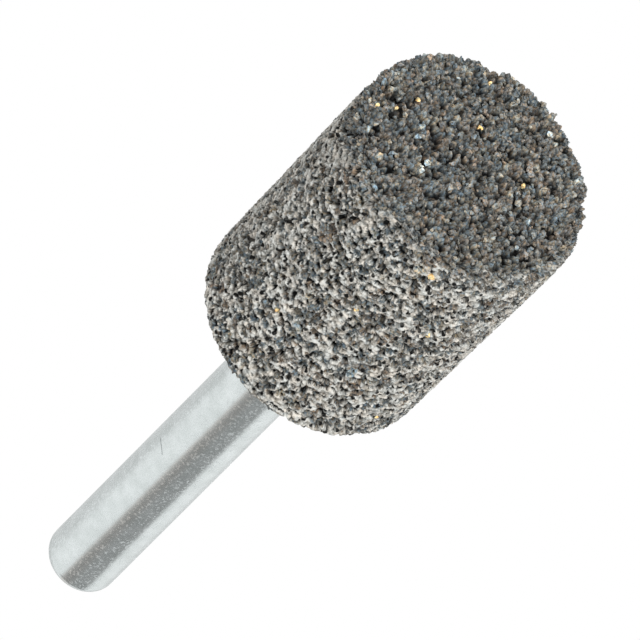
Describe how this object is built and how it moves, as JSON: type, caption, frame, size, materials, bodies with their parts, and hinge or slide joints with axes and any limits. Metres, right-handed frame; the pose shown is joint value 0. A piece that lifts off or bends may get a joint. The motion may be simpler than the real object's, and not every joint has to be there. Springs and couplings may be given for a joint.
{
  "type": "mounted point",
  "caption": "Cylindrical mounted point: a coarse dark grey bonded abrasive head with rounded rims, cemented on a plain round steel shank that a collet grips for grinding.",
  "frame": {"origin": "centre of the head's flat working face, which the part stands on", "axes": "+Z along the shank, from the working face towards the shank's free end; X and Y are any two directions across, since the part is round"},
  "size_m": [0.0202, 0.0202, 0.066],
  "materials": {
    "abrasive": "rough open grain",
    "steel": "bright drawn bar",
    "cement": "matt cured cement"
  },
  "bodies": {
    "root": {"abrasive_head": "abrasive", "shank": "steel", "bonding_cement": "cement"}
  },
  "joints": []
}
